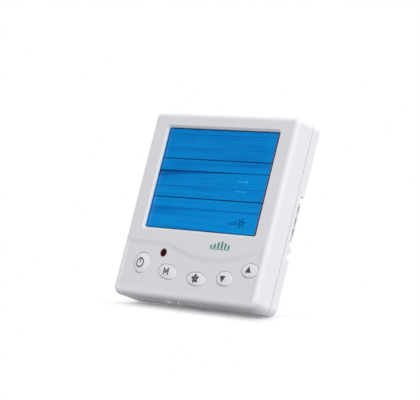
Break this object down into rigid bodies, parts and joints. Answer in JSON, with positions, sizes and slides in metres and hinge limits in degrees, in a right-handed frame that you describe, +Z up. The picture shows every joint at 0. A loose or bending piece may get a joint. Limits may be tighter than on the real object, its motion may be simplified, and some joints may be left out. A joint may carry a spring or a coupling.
{
  "type": "wall thermostat",
  "caption": "Square white wall thermostat with a wide blue display, a row of oval keys on a shallow curved field, and a rear box that sits in a wall box.",
  "frame": {"origin": "middle of the plane that rests on the wall, midway between the two fixing screws", "axes": "+X to the viewer's right, +Y into the wall, +Z up; the display faces -Y"},
  "size_m": [0.086, 0.0335, 0.0869],
  "materials": {
    "case_white": "moulded, fine satin gloss",
    "key_white": "moulded, glossy",
    "clear_window": "polished clear plastic",
    "lcd_cell": "polished, lit blue",
    "frame_white": "moulded, matte",
    "light_guide": "clear, frosted back",
    "board_green": "solder resist",
    "black_plastic": "moulded, matte",
    "relay_blue": "moulded",
    "terminal_green": "moulded",
    "sensor_grey": "moulded",
    "steel": "zinc plated",
    "brass": "tinned brass",
    "ferrite": "sintered, dull",
    "tape_yellow": "taped winding",
    "can_aluminium": "drawn can",
    "component_blue": "dipped resin",
    "component_yellow": "moulded case",
    "lens_red": "dark red, polished",
    "led_clear": "cast resin",
    "rubber_grey": "silicone, matte"
  },
  "bodies": {
    "base": {"rear_base": "case_white", "insulation_plate": "frame_white", "power_board": "board_green", "power_board_screws": "steel", "plug_socket": "black_plastic", "relays": "relay_blue", "transformer_core": "ferrite", "transformer_winding": "tape_yellow", "transformer_base": "black_plastic", "smoothing_capacitor": "can_aluminium", "noise_capacitor": "component_yellow", "fuse": "black_plastic", "varistor": "component_blue", "mains_terminal": "terminal_green", "terminal_clamps": "brass", "terminal_screws": "steel", "sensor_terminal": "sensor_grey", "sensor_terminal_screws": "steel"},
    "front": {"front_cover": "case_white", "display_window": "clear_window", "lcd_glass": "lcd_cell", "lcd_frame": "frame_white", "light_guide": "light_guide", "backlight_leds": "led_clear", "lcd_connector": "rubber_grey", "display_board": "board_green", "display_board_screws": "steel", "header_strip": "black_plastic", "header_pins": "brass", "key_switches": "black_plastic", "controller_chip": "black_plastic", "buzzer": "black_plastic", "temperature_sensor": "black_plastic", "signal_lens": "lens_red", "signal_led": "led_clear"},
    "power": {"power_key": "key_white", "power_plunger": "black_plastic"},
    "mode": {"mode_key": "key_white", "mode_plunger": "black_plastic"},
    "fan": {"fan_key": "key_white", "fan_plunger": "black_plastic"},
    "down": {"down_key": "key_white", "down_plunger": "black_plastic"},
    "up": {"up_key": "key_white", "up_plunger": "black_plastic"}
  },
  "joints": [
    {"name": "front_release", "type": "slide", "parent": "base", "child": "front", "axis": [0, -1, 0], "range_m": [0, 0.03]},
    {"name": "power_press", "type": "slide", "parent": "front", "child": "power", "axis": [0, 1, 0], "range_m": [0, 0.0004], "stiffness_N_per_m": 1500, "springref_m": -0.0001},
    {"name": "mode_press", "type": "slide", "parent": "front", "child": "mode", "axis": [0, 1, 0], "range_m": [0, 0.0004], "stiffness_N_per_m": 1500, "springref_m": -0.0001},
    {"name": "fan_press", "type": "slide", "parent": "front", "child": "fan", "axis": [0, 1, 0], "range_m": [0, 0.0004], "stiffness_N_per_m": 1500, "springref_m": -0.0001},
    {"name": "down_press", "type": "slide", "parent": "front", "child": "down", "axis": [0, 1, 0], "range_m": [0, 0.0004], "stiffness_N_per_m": 1500, "springref_m": -0.0001},
    {"name": "up_press", "type": "slide", "parent": "front", "child": "up", "axis": [0, 1, 0], "range_m": [0, 0.0004], "stiffness_N_per_m": 1500, "springref_m": -0.0001}
  ]
}
